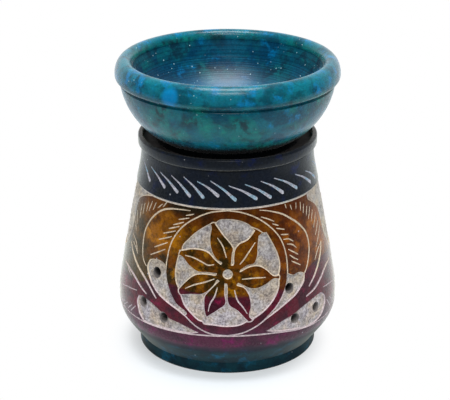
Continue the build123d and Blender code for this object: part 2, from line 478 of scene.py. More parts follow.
# %% [markdown]
# ## The flower
# A ring line frames a round medallion. Inside it the ground is sunk in seven cells, and
# what stays between them is the flower: seven pointed petals round a hub. Each cell ends in
# a narrow stem between two petals, and short lines close the petals' tips. The carver worked
# by eye, so no two cells are the same, and each one is drawn by its own points.

# %% The flower
ring_right = [(0, 21.5), (5.2, 20.7), (10.2, 18.9), (15.5, 15.4), (19.8, 10.4), (21.6, 4.8), (21.8, -0.2)]
ring_right += [(21.2, -4.8), (18.1, -10.7), (14, -14.9), (9.6, -18.3), (5, -20.5), (0, -21.5)]
ring_left = [(0, 21.5), (-6.7, 20.6), (-12.1, 18.3), (-17.3, 14.6), (-20.9, 9.4), (-22.4, 2.8)]
ring_left += [(-22.5, -2.2), (-20.7, -7.8), (-17.5, -12.7), (-14, -15.5), (-9.7, -19), (-5.6, -20.9)]
ring_left += [(0, -21.5)]
RING_WIDTH = 0.46
cut(ring_right, RING_WIDTH)
cut(ring_left, RING_WIDTH)

sink(
    [(1.4, 6.7), (1.8, 8.8), (1.1, 10), (-1.8, 13.3), (-4.8, 17)],
    [(-3.4, 18.2), (0.1, 18.6), (3.8, 18.2), (7.5, 16.8), (10.2, 14.3)],
    [(7.2, 11.3), (4, 9.9), (2.8, 8.5), (2.3, 6), (1.8, 3), (1.1, 3)],
)
sink(
    [(6.9, 2.9), (9.2, 3.3), (10.2, 5.2), (10.8, 9.4), (11.3, 12.4)],
    [(12.8, 13.3), (14.5, 13.3)],
    [(15.3, 11.9), (17, 8.6), (18.5, 4.9), (19, 1.1), (18.2, -2.2)],
    [(16.5, -2.2), (13.6, 0.4), (11.4, 1.9), (9.1, 2.3), (6.9, 1.9), (4.1, 0.8), (4.4, 1.5)],
)
sink(
    [(5.5, -4), (7, -4.8), (9.2, -5.3), (13, -4.4), (16.4, -2.8), (18.3, -3.3)],
    [(18.1, -5.6), (16.7, -8.8), (14.5, -11.5), (10.9, -14.4), (7.9, -16.1)],
    [(7, -15), (7.6, -11.2), (7, -7.4), (5.5, -4.9), (3, -3.6), (3.6, -2.9)],
)
sink(
    [(-1.1, -6.8), (-0.9, -10.2), (-3.1, -12.1), (-6.4, -14.6), (-8.2, -16.2)],
    [(-8.1, -17.1), (-4.5, -17.8), (0.1, -18.2), (4.1, -17.7), (6.7, -16.4)],
    [(6.2, -15.9), (3.3, -12.5), (0.4, -10.2), (0, -8.7)]
    + [(0, -5.6), (-0.4, -3.2), (-1.1, -3.1)],
)
sink(
    [(-5.8, -5.6), (-7.6, -8.1), (-7.7, -10.3), (-7.1, -14.2), (-6.6, -15.4), (-7.6, -17)],
    [(-9.4, -16.5), (-11.9, -14.5), (-14.6, -11.9), (-16.3, -8.4)],
    [(-12.3, -7.6), (-8.5, -7.1), (-6.8, -6), (-4.7, -3.8), (-3.3, -1.9), (-2.8, -2.4)],
)
sink(
    [(-6.9, 0.5), (-10.4, 0.5), (-13.4, 2.1), (-17.1, 5), (-18, 5)],
    [(-18.5, 2.4), (-18.8, -1.4), (-18, -5), (-16.9, -6.8)],
    [(-14.4, -3.7), (-11.2, -1), (-8.7, -0.4), (-6, -0.4), (-3.8, -0.3), (-3.7, 0.3)],
)
sink(
    [(-4.9, 5.2), (-6.5, 6.8), (-12.1, 7.8), (-16.8, 6.6)],
    [(-16.8, 7.7), (-14.1, 11.4), (-10.5, 14.6), (-6.5, 17)],
    [(-6, 16.1), (-6.3, 12.5), (-6.1, 9.8), (-5.2, 7.1), (-3.6, 4.9), (-1.9, 3.8), (-2.4, 3.2)],
)

petal_veins = [
    [(-3.6, 12.2), (-1.8, 9.7), (-1, 7.6), (-0.5, 5.8)],
    [(9.9, 10.3), (7.7, 7.6), (5.7, 5), (4.3, 3.4)],
    [(13.1, -2), (9, -1.7), (5, -1.8)],
    [(6.3, -13.7), (5.1, -11.6), (3.3, -9.1), (2.3, -5.6)],
    [(-6.3, -12.9), (-5.8, -10.4), (-4.3, -7.6), (-3.5, -4.7)],
    [(-14.5, -6), (-11.4, -4.3), (-7.7, -3), (-4.6, -1.7)],
    [(-15.2, 5.3), (-12.3, 5), (-8.9, 3.8), (-6.7, 2.9), (-4.8, 3.2)],
]
for vein in petal_veins:
    cut(vein, 0.26, 0.46, 0.48, 0.32)

tip_lines = [
    [(-7.2, 16.2), (-5.7, 17.3), (-3.9, 17.4)],
    [(8.2, 15.9), (10.9, 14.7), (13.6, 12.9)],
    [(17.9, -1.2), (18.45, -2.7), (17.9, -4.4)],
    [(9, -15), (7.5, -16.6), (5.6, -16.5)],
    [(-15.6, -8.9), (-16.9, -7.7), (-17, -5.6)],
    [(-17.8, 4.2), (-17.7, 5.9), (-16.1, 7.6)],
]
for tip_line in tip_lines:
    cut(tip_line, 0.3, 0.4, 0.3)
HUB_DOT_RADIUS = 1.7
dot_angles = np.linspace(0, 2 * math.pi, 21)[1:]
sink(HUB_DOT_RADIUS * np.column_stack([np.cos(dot_angles), np.sin(dot_angles)]))
print("flower:", len(carvings), "cuts")

# %% [markdown]
# ## Leaves, drops and pears
# On each side of the medallion a leaf curls down, with short hatches for its veins. Below
# it a drop and a pear are sunk, and small vents are drilled through them for the flame's
# air. The back is not seen in the photograph, so each side's leaf is mirrored there. Between
# two leaves, at the side, the ground is sunk in the shape of a drop.

# %% Leaves, drops and pears
left_arc = [(-14.6, 20.5), (-18.9, 20.3), (-23.1, 19.8), (-25.9, 19), (-29.3, 17.1), (-32.1, 14.5)]
left_arc += [(-34.2, 11.4), (-35.2, 8.7), (-35.4, 5.5), (-35.1, 2.7), (-34.6, 0.5), (-33, -1.7)]
left_arc += [(-32, -2.3)]
right_arc = [(12.4, 20.9), (14.9, 20.5), (18.2, 19.6), (21.9, 18.2), (25.3, 16.1), (27.9, 14.3)]
right_arc += [(30.3, 12.1), (32.2, 9.8), (33.2, 6.6), (33.2, 4), (32.6, 1.6), (31.8, -0.3)]
right_arc += [(30.7, -2.4), (29.5, -3.9)]
cut_twice(left_arc, 0.26, 0.6, 0.62, 0.58, 0.42)
cut_twice(right_arc, 0.26, 0.55, 0.72, 0.62, 0.48)

sink_twice(
    [(-25.1, 1.4), (-27.6, 1.3), (-30.3, 0.4), (-31.4, -2.6), (-30.5, -4.7), (-28.5, -7.5)],
    [(-25, -10.3), (-21.4, -12.1), (-16.5, -14.3), (-14.3, -15.6)],
    [(-13.6, -15), (-17.7, -11.5), (-20.4, -7.6)]
    + [(-21.7, -4.6), (-22.6, -0.8), (-23.2, 0.8)],
)
sink_twice(
    [(22.6, -2.6), (24.1, -3.3), (25.9, -3), (27.6, -3.2), (29.3, -4.1)],
    [(28.8, -6.6), (26.6, -8.8), (23.9, -10.7), (20.7, -12.2), (17.2, -14), (12, -16.8)],
    [(12.3, -16.2), (16, -13.3), (18.5, -10.5), (20.4, -7.2), (21.3, -3.6), (21.6, -1.8)],
)
sink_twice(
    [(-31, -13.4), (-27.5, -14.1), (-23.2, -16)]
    + [(-19.9, -17.5), (-16.3, -18.4), (-9.4, -20.9)],
    [(-12.3, -21.6), (-16.3, -21.8), (-22.8, -22), (-28.8, -22.3), (-31.2, -22.2)],
    [(-32.9, -20.5), (-34.1, -18), (-34.8, -16), (-34.1, -13.6)],
)
sink_twice(
    [(15.2, -19.6), (18.9, -18), (22.1, -17.1), (25.6, -15.7), (29.6, -14.6), (33.4, -13.8)],
    [(37.3, -14), (39.3, -15.9), (39.5, -17.9), (38.6, -20), (36.5, -22.2), (32.5, -23.6)],
    [(28.3, -23.6), (24.5, -23), (20.3, -22.3), (15, -21.5), (12.6, -20.8)],
)
side_left = [(-32.5, 21.9), (-40, 20), (-43.9, 17.7), (-44.7, 15.2), (-44.6, 11.4), (-45.8, 5.7), (-49, 1)]
side_right = [(36.8, 21.9), (36.6, 20.1), (38.7, 18.6), (41.7, 16.6), (43.9, 13.8), (44.8, 9.7)]
side_right += [(45.5, 5.7), (49, 1)]
for edge in (side_left, side_right):
    tip = [math.copysign(HALF_TURN / 2, edge[0][0]), -4.0]
    far_edge = behind(edge)[::-1]
    sink([*edge[1:], tip], far_edge, edge[:1])

bold_veins = [
    [(-44.6, 1.8), (-41.2, -1.1), (-37.1, -3.8), (-32.2, -6.5), (-28.7, -9.2), (-25.7, -11.9)],
    [(42, 2.8), (40, -0.7), (37.3, -3.9), (34, -6.9), (30.9, -9.2)],
    [(-48.6, -6.4), (-41.9, -7.2), (-37, -8.7), (-33.6, -10.4), (-30.4, -11.8)],
    [(48.7, -5.4), (42.4, -6.6), (38.3, -8.7), (34.1, -10.8), (29, -12.3)],
]
for vein in bold_veins:
    cut_twice(vein, 0.6, 1.0, 1.0, 0.85, 0.5)
print("with leaves, drops and pears:", len(carvings), "cuts")

# %% [markdown]
# ## Hatching and border strokes
# Short hatches follow the leaves and the ring. On the dark band under the rim runs a border
# of slanting commas, each a stroke that starts thin and is pressed deeper at its end. The
# visible commas follow the photograph, and the row goes on round the back at the same pitch.

# %% Hatching and border strokes
hatches = [
    [(-40.4, 17.1), (-40.2, 12.2)],
    [(-38.2, 18), (-38.4, 14.1)],
    [(-35.6, 19.1), (-36.2, 15.8)],
    [(-33.4, 19.9), (-34.6, 16.4)],
    [(-31, 20.1), (-32.1, 17.5)],
    [(-27.5, 20.4), (-29.6, 18.7)],
    [(-25.2, 21.7), (-27, 19.6)],
    [(-43.4, 13.8), (-41.7, 9.7)],
    [(-43.5, 10), (-41.7, 7.2)],
    [(-44, 5.3), (-40.1, 3.3), (-38.3, 0)],
    [(-42.4, 2.8), (-39.9, 1.5), (-38.4, 0.4)],
    [(-44.3, -7.6), (-40.7, -8.9)],
    [(-16.1, 18.7), (-13, 19.5)],
    [(-19, 16.9), (-14.8, 18)],
    [(-21.2, 14.7), (-16.9, 16.3)],
    [(-22.9, 13.1), (-18.6, 14.6)],
    [(-25.1, 11), (-20, 12.8)],
    [(-27, 8.4), (-21.4, 10.6)],
    [(-28.7, 5.3), (-23, 8.2)],
    [(-30.2, 2.2), (-23.7, 5.7)],
    [(-51.5, -16.2), (-42.7, -13.8), (-35.6, -12.5)],
    [(-46.8, -21.2), (-43.5, -19.5)],
    [(-44.2, -21.2), (-41, -19.1)],
    [(-40.9, -21.2), (-37.8, -18.8)],
    [(-38.6, -21.2), (-35.6, -18.4)],
    [(23.6, 21.2), (23.9, 19.9)],
    [(26.1, 20.4), (26.5, 18.9)],
    [(29.2, 20.5), (28.8, 18.6)],
    [(31.7, 20.1), (31.2, 17.4)],
    [(33.5, 19), (32.5, 16.2)],
    [(35.4, 17.8), (34.1, 14.9)],
    [(37.4, 17), (35.2, 13.4)],
    [(38.8, 15.4), (36.8, 12)],
    [(41, 13.9), (37.8, 9.6)],
    [(41.8, 10.7), (38.3, 6.7)],
    [(43, 8.6), (39.6, 4.7), (37.7, 2.5)],
    [(42.1, 3.2), (38.1, 0.9), (35.8, -1.5)],
    [(12.8, 18.6), (15.3, 17.7), (17.8, 16.5)],
    [(17.2, 15.7), (19.5, 14.8)],
    [(18.6, 14), (21.9, 13)],
    [(20.4, 11.5), (23.4, 11)],
    [(21.2, 9.7), (23.2, 9.5), (25.4, 8.2)],
    [(22.6, 7.8), (24.7, 7.2), (26.5, 5.7)],
    [(22.9, 5.9), (24.9, 4.6), (27, 3.2)],
    [(23.3, 3.8), (24.9, 2.5), (26.7, 1.4)],
    [(23.8, 1.6), (27.6, -0.7)],
    [(48, -14.1), (43.7, -13.2), (39, -12.6)],
    [(40.6, -18), (43.9, -21.8)],
    [(43.4, -18), (47, -21.8)],
]
for hatch in hatches:
    cut_twice(hatch, 0.27, 0.43, 0.41, 0.27)

# A comma: the angle and height of its thin end, and those of its pressed end
commas = [
    (-75, 71.1, -59.1, 65.7),
    (-59.4, 70.4, -43.7, 65.8),
    (-48.7, 70.1, -33.2, 65.4),
    (-38.7, 70.3, -24.2, 64.9),
    (-29.1, 70.8, -15.4, 65),
    (-19.5, 70, -6.1, 65.8),
    (-11, 70.6, 4.6, 64.5),
    (0.8, 69.1, 17.7, 64.4),
    (11.1, 69.4, 27.2, 64.2),
    (21.6, 69.9, 36.5, 64.8),
    (31.1, 70.2, 48.6, 64.8),
    (48.8, 69.4, 65.3, 64.1),
    (60.9, 68.7, 74.7, 64),
]
COMMA_PITCH = 11.4
commas += [(74.6 + COMMA_PITCH * i, 69.8, 89.9 + COMMA_PITCH * i, 64.8) for i in range(17)]
COMMA_BOW = 0.5
for thin_angle, thin_height, thick_angle, thick_height in commas:
    if thin_angle <= 180 < thick_angle:
        # The drawing's seam: a comma ends short of it or starts after it
        thin_angle, thick_angle = (thin_angle, 178.4) if thick_angle < 187 else (181.4, thick_angle)
    turn_back = 360 if thick_angle > 180 else 0
    thin = np.array([math.radians(thin_angle - turn_back) * UNROLL, thin_height - FLOWER_HEIGHT])
    thick = np.array([math.radians(thick_angle - turn_back) * UNROLL, thick_height - FLOWER_HEIGHT])
    middle = (thin + thick) / 2 + (0, COMMA_BOW)
    cut([thin, middle, thick], 0.28, 0.45, 0.7, 0.95, 1.25)

lower_line = [(-95, -22.2), (-56.5, -22.2), (-31, -22.3), (-12, -21.8), (0, -21.6), (8, -21.7), (16, -22.1)]
lower_line += [(24.5, -23.2), (32.5, -23.8), (45, -23.2), (56.5, -22.4), (95, -22.2)]
cut(lower_line, 0.55)
print("the whole drawing:", len(carvings), "cuts")

# %% [markdown]
# ## How deep every point is cut
# A cut's depth follows from how far a point lies inside its outline. Sunk ground goes down a
# short slope and then stays level. A stroke is a groove that is deepest along its middle.
# The arched door at the back has a border line, and the ornament keeps clear of it.

# %% Depth of the cuts
GROUND_DEPTH = 0.4
GROUND_SLOPE = 0.3
STROKE_DEPTH = 0.42
STROKE_SLOPE = 0.45
BAND_LINE_Y = 61.4 - FLOWER_HEIGHT
BAND_LINE_WIDTH = 0.62
DOOR_HALF_WIDTH, DOOR_SILL, DOOR_SPRING = 21.0, 8.0, 26.0
FRAME_GAP, FRAME_LINE_WIDTH, FRAME_CLEARANCE, FRAME_FOOT = 1.7, 0.7, 3.2, 13.6
REACH = 1.2
FAR_OUTSIDE, FAR_FROM_DOOR = -9.0, 99.0
POINTS_AT_ONCE = 3000


def door_distance(points):
    """How far points on the drawing lie outside the door's arch."""
    height = points[:, 1] + FLOWER_HEIGHT
    turn = (HALF_TURN - np.abs(points[:, 0])) / UNROLL
    across = wall_radius(height) * np.sin(np.clip(turn, 0, math.pi / 2))
    above = np.maximum(height - DOOR_SPRING, 0)
    return np.where(turn < math.pi / 2, np.hypot(across, above) - DOOR_HALF_WIDTH, FAR_FROM_DOOR)


def inside_depth(points, outline):
    """How deep points lie inside a closed outline; negative outside it."""
    start, end = outline, np.roll(outline, -1, axis=0)
    side = end - start
    length = np.maximum((side**2).sum(1), 1e-12)
    rise_y = np.where(side[:, 1] == 0, 1e-12, side[:, 1])
    depth = np.empty(len(points))
    for first in range(0, len(points), POINTS_AT_ONCE):
        some = points[first : first + POINTS_AT_ONCE, None]
        offset = some - start
        t = np.clip((offset * side).sum(2) / length, 0, 1)
        gap = np.linalg.norm(offset - t[..., None] * side, axis=2).min(1)
        spans = (start[:, 1] > some[..., 1]) != (end[:, 1] > some[..., 1])
        left_of = some[..., 0] < start[:, 0] + offset[..., 1] * side[:, 0] / rise_y
        odd = (spans & left_of).sum(1) % 2 == 1
        depth[first : first + POINTS_AT_ONCE] = np.where(odd, gap, -gap)
    return depth


def cut_depths(points):
    """How deep points lie inside the sunk ground and inside the strokes."""
    fields = {kind: np.full(len(points), FAR_OUTSIDE) for kind in ("ground", "line")}
    for kind, outline, _ in carvings:
        near = np.all((points > outline.min(0) - REACH) & (points < outline.max(0) + REACH), axis=1)
        if near.any():
            fields[kind][near] = np.maximum(fields[kind][near], inside_depth(points[near], outline))
    door = door_distance(points)
    ground = np.minimum(fields["ground"], door - FRAME_CLEARANCE)
    line = np.minimum(fields["line"], door - FRAME_CLEARANCE)
    line = np.maximum(line, BAND_LINE_WIDTH / 2 - np.abs(points[:, 1] - BAND_LINE_Y))
    border = FRAME_LINE_WIDTH / 2 - np.abs(door - FRAME_GAP)
    line = np.maximum(line, np.minimum(border, points[:, 1] + FLOWER_HEIGHT - FRAME_FOOT))
    return ground, line


print("cuts are up to", GROUND_DEPTH, "mm deep")

# %% [markdown]
# ## The carved sheet
# The carved zone could be a fine even grid, but thin strokes would come out jagged. Instead,
# every outline goes into a constrained Delaunay triangulation, which keeps it as a chain of
# edges. The triangles then never straddle an outline, so each has one finish: dyed skin, sunk
# ground, or the bright slope of a cut. Extra points in the ground carry the stipple.

# %% The carved sheet
COLUMNS = 240
SHEET_LOW, SHEET_HIGH = 13.0, 73.4
SKIN_SPACING, STIPPLE_SPACING = 1.25, 0.62
ROW_SHARE = 0.87
STIPPLE_SHIFT, STIPPLE_DEPTH = 0.22, 0.07
SKIN, GROUND, CUT, BORED = range(4)
rng = np.random.default_rng(7)
sheet_points, sheet_edges = [], []


def lay(line, closed=False):
    """Put a chain of edges on the sheet."""
    first = len(sheet_points)
    sheet_points.extend(map(tuple, line))
    last = len(sheet_points) - 1
    sheet_edges.extend((i, i + 1) for i in range(first, last))
    if closed:
        sheet_edges.append((last, first))


def lay_inset(outline, distance):
    """Put the foot of a sunk outline's slope on the sheet, where there is room for it."""
    heading = np.roll(outline, -1, axis=0) - np.roll(outline, 1, axis=0)
    heading /= np.linalg.norm(heading, axis=1)[:, None]
    next_points = np.roll(outline, -1, axis=0)
    area = (outline[:, 0] * next_points[:, 1] - next_points[:, 0] * outline[:, 1]).sum()
    inward = np.column_stack([-heading[:, 1], heading[:, 0]]) * math.copysign(1, area)
    foot = outline + inward * distance
    room = inside_depth(foot, outline) > 0.93 * distance
    breaks = np.flatnonzero(np.diff(room.astype(int))) + 1
    for run, is_open in zip(np.split(foot, breaks), room[np.r_[0, breaks]]):
        if is_open:
            lay(run)


def door_chain(offset):
    """The door's arch, moved outwards, as a chain from its side to its crown."""
    reach = DOOR_HALF_WIDTH + offset
    sides = np.linspace(FRAME_FOOT, DOOR_SPRING, 14)
    swing = np.radians(np.linspace(0, 90, 44)[1:])
    height = np.r_[sides, DOOR_SPRING + reach * np.sin(swing)]
    across = np.r_[np.full(len(sides), reach), reach * np.cos(swing)]
    along = HALF_TURN - UNROLL * np.arcsin(across / wall_radius(height))
    along[-1] = HALF_TURN
    return np.column_stack([along, height - FLOWER_HEIGHT])


low_y, high_y = SHEET_LOW - FLOWER_HEIGHT, SHEET_HIGH - FLOWER_HEIGHT
column_x = np.linspace(-HALF_TURN, HALF_TURN, COLUMNS + 1)
border_y = np.linspace(low_y, high_y, 50)
half_line = BAND_LINE_WIDTH / 2
for y in (low_y, high_y, BAND_LINE_Y - half_line, BAND_LINE_Y, BAND_LINE_Y + half_line):
    lay(np.column_stack([column_x, np.full(COLUMNS + 1, y)]))
for x in (-HALF_TURN, HALF_TURN):
    lay(np.column_stack([np.full(len(border_y), x), border_y]))
half_frame = FRAME_LINE_WIDTH / 2
for offset in (FRAME_GAP - half_frame, FRAME_GAP, FRAME_GAP + half_frame, FRAME_CLEARANCE):
    chain = door_chain(offset)
    lay(chain)
    lay(chain * (-1, 1))
for kind, outline, crease in carvings:
    lay(outline, closed=True)
    if kind == "line":
        lay(crease)
    else:
        lay_inset(outline, GROUND_SLOPE)

rows = np.arange(low_y + SKIN_SPACING, high_y - SKIN_SPACING / 2, SKIN_SPACING * ROW_SHARE)
skin_x = np.arange(-HALF_TURN + SKIN_SPACING, HALF_TURN - SKIN_SPACING, SKIN_SPACING)
skin_grid = np.vstack([
    np.column_stack([skin_x + (SKIN_SPACING / 2 if i % 2 else 0), np.full(len(skin_x), y)])
    for i, y in enumerate(rows)
])
ground, line = cut_depths(skin_grid)
clear_of_cuts = skin_grid[(ground < -0.55) & (np.abs(line) > 0.5)]
sheet_points.extend(map(tuple, clear_of_cuts))
stipple_x = np.arange(-HALF_TURN + SKIN_SPACING, HALF_TURN - SKIN_SPACING, STIPPLE_SPACING)
stipple_y = np.arange(low_y + SKIN_SPACING, high_y - SKIN_SPACING, STIPPLE_SPACING)
stipple_grid = np.stack(np.meshgrid(stipple_x, stipple_y), axis=-1).reshape(-1, 2)
stipple_grid += rng.uniform(-STIPPLE_SHIFT, STIPPLE_SHIFT, stipple_grid.shape)
ground, _ = cut_depths(stipple_grid)
sheet_points.extend(map(tuple, stipple_grid[ground > GROUND_SLOPE + 0.15]))

flat, _, triangles, *_ = delaunay_2d_cdt([Vector(p) for p in sheet_points], sheet_edges, [], 0, 1e-4)
flat = np.array([tuple(p) for p in flat])
triangles = np.array(triangles)
corners = flat[triangles]
turns = np.cross(corners[:, 1] - corners[:, 0], corners[:, 2] - corners[:, 0])
triangles[turns < 0] = triangles[turns < 0][:, ::-1]

ground, line = cut_depths(flat)
sunk = GROUND_DEPTH * np.clip(ground / GROUND_SLOPE, 0, 1)
engraved = STROKE_DEPTH * np.clip(line / STROKE_SLOPE, 0, 1)
depth = np.maximum(sunk, engraved)
depth += np.where(ground > GROUND_SLOPE + 0.05, rng.normal(0, STIPPLE_DEPTH, len(flat)), 0)
centre_ground, centre_line = cut_depths(corners.mean(axis=1))
sheet_finish = np.where((centre_ground > 0) | (centre_line > 0), CUT, SKIN)
sheet_finish[centre_ground > 0.97 * GROUND_SLOPE] = GROUND
print("carved sheet:", len(flat), "points and", len(triangles), "triangles")

# %% [markdown]
# ## The body in one piece
# The sheet is rolled up round the axis, and rows of quads turned on the same axis close it:
# the foot and base below, the rim, the seat, the throat and the chamber above and inside.
# The result is one watertight solid. The door and the vents are then cut through it with a
# Boolean, as a saw and a drill would.


# %% The body's mesh
def round_axis(points):
    """Points on the drawing, cut to their depth, round the axis in metres."""
    angle = points[:, 0] / UNROLL
    height = points[:, 1] + FLOWER_HEIGHT
    radius = wall_radius(height) - depth
    return np.column_stack([radius * np.sin(angle), -radius * np.cos(angle), height]) * MM


class Turning:
    """Gathers points and faces that are turned on the axis, each face with its finish."""

    def __init__(self, columns=COLUMNS):
        angles = np.linspace(-math.pi, math.pi, columns + 1)[:-1]
        self.circle = np.column_stack([np.sin(angles), -np.cos(angles)])
        self.columns = columns
        self.points, self.faces, self.finishes = [], [], []

    def add(self, points, faces, finishes):
        first = len(self.points)
        self.points.extend(map(tuple, points))
        self.faces.extend(tuple(first + i for i in face) for face in faces)
        self.finishes.extend(finishes)

    def turn(self, profile, finish):
        """Turn a profile of (radius, height) in millimetres with one finish."""
        ring, rows = range(self.columns), []
        for radius, height in profile:
            first = len(self.points)
            if radius == 0:
                self.points.append((0.0, 0.0, height * MM))
                rows.append([first] * self.columns)
            else:
                self.points.extend((x * radius * MM, y * radius * MM, height * MM) for x, y in self.circle)
                rows.append([first + i for i in ring])
        for low, high in zip(rows, rows[1:]):
            for i in ring:
                j = (i + 1) % self.columns
                self.faces.append(tuple(dict.fromkeys((low[i], low[j], high[j], high[i]))))
                self.finishes.append(finish)

    def mesh(self, name, materials):
        """A mesh of all faces, welded where they meet."""
        mesh = bpy.data.meshes.new(name)
        mesh.from_pydata(self.points, [], self.faces)
        for material in materials:
            mesh.materials.append(material)
        mesh.polygons.foreach_set("material_index", np.array(self.finishes, np.int32))
        work = bmesh.new()
        work.from_mesh(mesh)
        bmesh.ops.remove_doubles(work, verts=work.verts, dist=2e-6)
        open_edges = sum(not edge.is_manifold for edge in work.edges)
        work.to_mesh(mesh)
        work.free()
        print(name, "has", len(mesh.polygons), "faces and", open_edges, "open edges")
        return mesh


def arc(centre, radii, start, end, count):
    """Points on an elliptical arc, with angles in degrees."""
    swing = np.radians(np.linspace(start, end, count))
    return [(centre[0] + radii[0] * math.cos(a), centre[1] + radii[1] * math.sin(a)) for a in swing]


RIM_TOP, SEAT_HEIGHT = 78.24, 76.04
RECESS_RADIUS, RIM_RADIUS, RIM_ROUND = 29.6, 31.1, 0.7
NECK_LINE_DEPTH = 0.3

body_turning = Turning()
body_turning.add(round_axis(flat), triangles, sheet_finish)
body_turning.turn([(radius, 0.0) for radius in (0, 10, 20, 26, 31.0)], BORED)
foot = [(31.0, 0.0), (31.35, 0.15), (FOOT_RADIUS, 0.55), (FOOT_RADIUS, 2.5), (FOOT_RADIUS, FOOT_HEIGHT)]
foot += [(float(wall_radius(h)), h) for h in np.linspace(FOOT_HEIGHT, SHEET_LOW, 16)[1:]]
body_turning.turn(foot, SKIN)
neck = [(float(wall_radius(h)), h) for h in (SHEET_HIGH, 73.6, 73.75)]
body_turning.turn(neck, SKIN)
rim = [(30.6, 74.5), (30.95, 74.75), (RIM_RADIUS, 75.1), (RIM_RADIUS, 76.4)]
body_turning.turn([neck[-1], (NECK_RADIUS - NECK_LINE_DEPTH, 74.1), rim[0]], SKIN)
rim += arc((RIM_RADIUS - RIM_ROUND, RIM_TOP - RIM_ROUND), (RIM_ROUND, RIM_ROUND), 0, 90, 9)
rim += [(29.8, RIM_TOP), (RECESS_RADIUS, RIM_TOP - 0.2), (RECESS_RADIUS, SEAT_HEIGHT)]
body_turning.turn(rim, SKIN)
throat = [(RECESS_RADIUS, SEAT_HEIGHT), (22.0, SEAT_HEIGHT), (THROAT_RADIUS, SEAT_HEIGHT - 0.5)]
throat += [(float(chamber_curve(h)), float(h)) for h in np.linspace(THROAT_HEIGHT, CHAMBER_LOW, 30)]
throat += [(21.5, DOOR_SILL), (12.0, DOOR_SILL), (0.0, DOOR_SILL)]
body_turning.turn(throat, BORED)

# %% [markdown]
# ## Finishes of the body
# Dye sinks into soft stone in clouds, so each zone mixes three tones of one colour. The zones
# follow height: teal at the foot, crimson on the belly, amber on the wall and dark blue at the
# band and rim. The wall turns maroon on the right, and olive and orange at its two sides. Wax
# makes this skin glossy. Where the graver went through, the stone is raw and matt: bright on
# the slope of a cut, grey and pitted on the stippled ground.


# %% Dyed skin
def dye(tree, where, scale, base, shade, blotch, shade_share, blotch_share):
    """Marbled dye from three screen colours."""
    tones = {"Base": tint(*base), "Shade": tint(*shade), "Blotch": tint(*blotch)}
    shares = {"Shade_Share": shade_share, "Blotch_Share": blotch_share}
    return use_group(tree, marbled_dye, Vector=where, Scale=scale, **tones, **shares)["Color"]


def off(tree, value, middle):
    """How far a value is from a middle one, on either side."""
    return sums(tree, "ABSOLUTE", sums(tree, "SUBTRACT", value, middle))


TEAL_TOP, CRIMSON_TOP, AMBER_TOP, NECK_LINE = 0.0115, 0.0319, 0.0612, 0.0741

dyed_skin, tree, shader, where = new_material("dyed_waxed_soapstone")
axes = split(tree, where)
clouds = noise(tree, where, 170.0, 4.0)
wander = times(tree, sums(tree, "SUBTRACT", clouds, 0.5), 0.003)
level = sums(tree, "ADD", axes["Z"], wander)
teal = dye(tree, where, 150.0, (10, 52, 61), (8, 37, 48), (0, 80, 106), 0.5, 0.28)
magenta = dye(tree, where, 150.0, (81, 36, 57), (64, 33, 49), (108, 20, 75), 0.5, 0.28)
crimson = dye(tree, where, 170.0, (88, 24, 38), (60, 22, 34), (118, 18, 56), 0.48, 0.28)
amber = dye(tree, where, 190.0, (106, 58, 2), (46, 32, 4), (150, 98, 2), 0.48, 0.3)
bright_amber = dye(tree, where, 170.0, (146, 88, 2), (82, 46, 2), (186, 118, 2), 0.42, 0.4)
maroon = dye(tree, where, 170.0, (100, 40, 2), (66, 24, 4), (150, 80, 0), 0.48, 0.34)
olive = dye(tree, where, 170.0, (74, 54, 10), (50, 42, 12), (100, 70, 8), 0.5, 0.3)
orange = dye(tree, where, 170.0, (140, 74, 2), (96, 46, 2), (172, 102, 4), 0.44, 0.34)
navy = dye(tree, where, 150.0, (25, 31, 42), (28, 32, 38), (20, 32, 72), 0.5, 0.22)
to_the_right = rise(tree, axes["X"], 0.002, 0.024, 0.0, 0.85)
to_the_left = times(tree, rise(tree, axes["X"], -0.0125, -0.0205), rise(tree, level, 0.0425, 0.048))
wall_dye = blend(tree, to_the_left, amber, bright_amber)
wall_dye = blend(tree, to_the_right, wall_dye, maroon)
wall_dye = blend(tree, rise(tree, axes["X"], -0.0255, -0.0295, 0.0, 0.85), wall_dye, olive)
wall_dye = blend(tree, rise(tree, axes["X"], 0.0235, 0.0285, 0.0, 0.85), wall_dye, orange)
wall_dye = blend(tree, rise(tree, level, 0.052, 0.0605, 0.0, 0.75), wall_dye, tint(70, 28, 6))
crimson = blend(tree, rise(tree, level, 0.0225, 0.0175), crimson, magenta)
bleed = times(tree, rise(tree, axes["X"], -0.024, -0.017), rise(tree, axes["X"], -0.002, -0.009))
bleed = times(tree, bleed, rise(tree, level, 0.0565, 0.06, 0.0, 0.85))
wall_dye = blend(tree, bleed, wall_dye, tint(18, 22, 14))
colour = blend(tree, rise(tree, level, TEAL_TOP - 0.0014, TEAL_TOP + 0.0014), teal, crimson)
# A dark band painted along the teal edge, on the underside of the belly: painted shade.
underside_seam_shade = rise(tree, off(tree, level, TEAL_TOP), 0.0022, 0.0008, 0.0, 0.6)
colour = blend(tree, underside_seam_shade, colour, tint(24, 26, 42))
dip = sums(tree, "SUBTRACT", level, rise(tree, axes["X"], 0.019, 0.031, 0.0, 0.0058))
dip = sums(tree, "SUBTRACT", dip, rise(tree, axes["X"], -0.006, -0.02, 0.0, 0.0022))
dip = sums(tree, "ADD", dip, rise(tree, axes["X"], -0.025, -0.031, 0.0, 0.0036))
colour = blend(tree, rise(tree, dip, CRIMSON_TOP - 0.0005, CRIMSON_TOP + 0.0005), colour, wall_dye)
colour = blend(tree, rise(tree, axes["Z"], AMBER_TOP - 0.0002, AMBER_TOP + 0.0002), colour, navy)
# A pale line painted along the neck groove, stronger towards the left and right: a painted highlight.
neck_glint = rise(tree, off(tree, axes["Z"], NECK_LINE), 0.0003, 0.0001)
glint_at_sides = rise(tree, sums(tree, "ABSOLUTE", axes["X"]), 0.008, 0.024, 0.1, 0.9)
colour = blend(tree, times(tree, neck_glint, glint_at_sides), colour, tint(150, 154, 158))
rub = noise(tree, where, 900.0, 3.0)
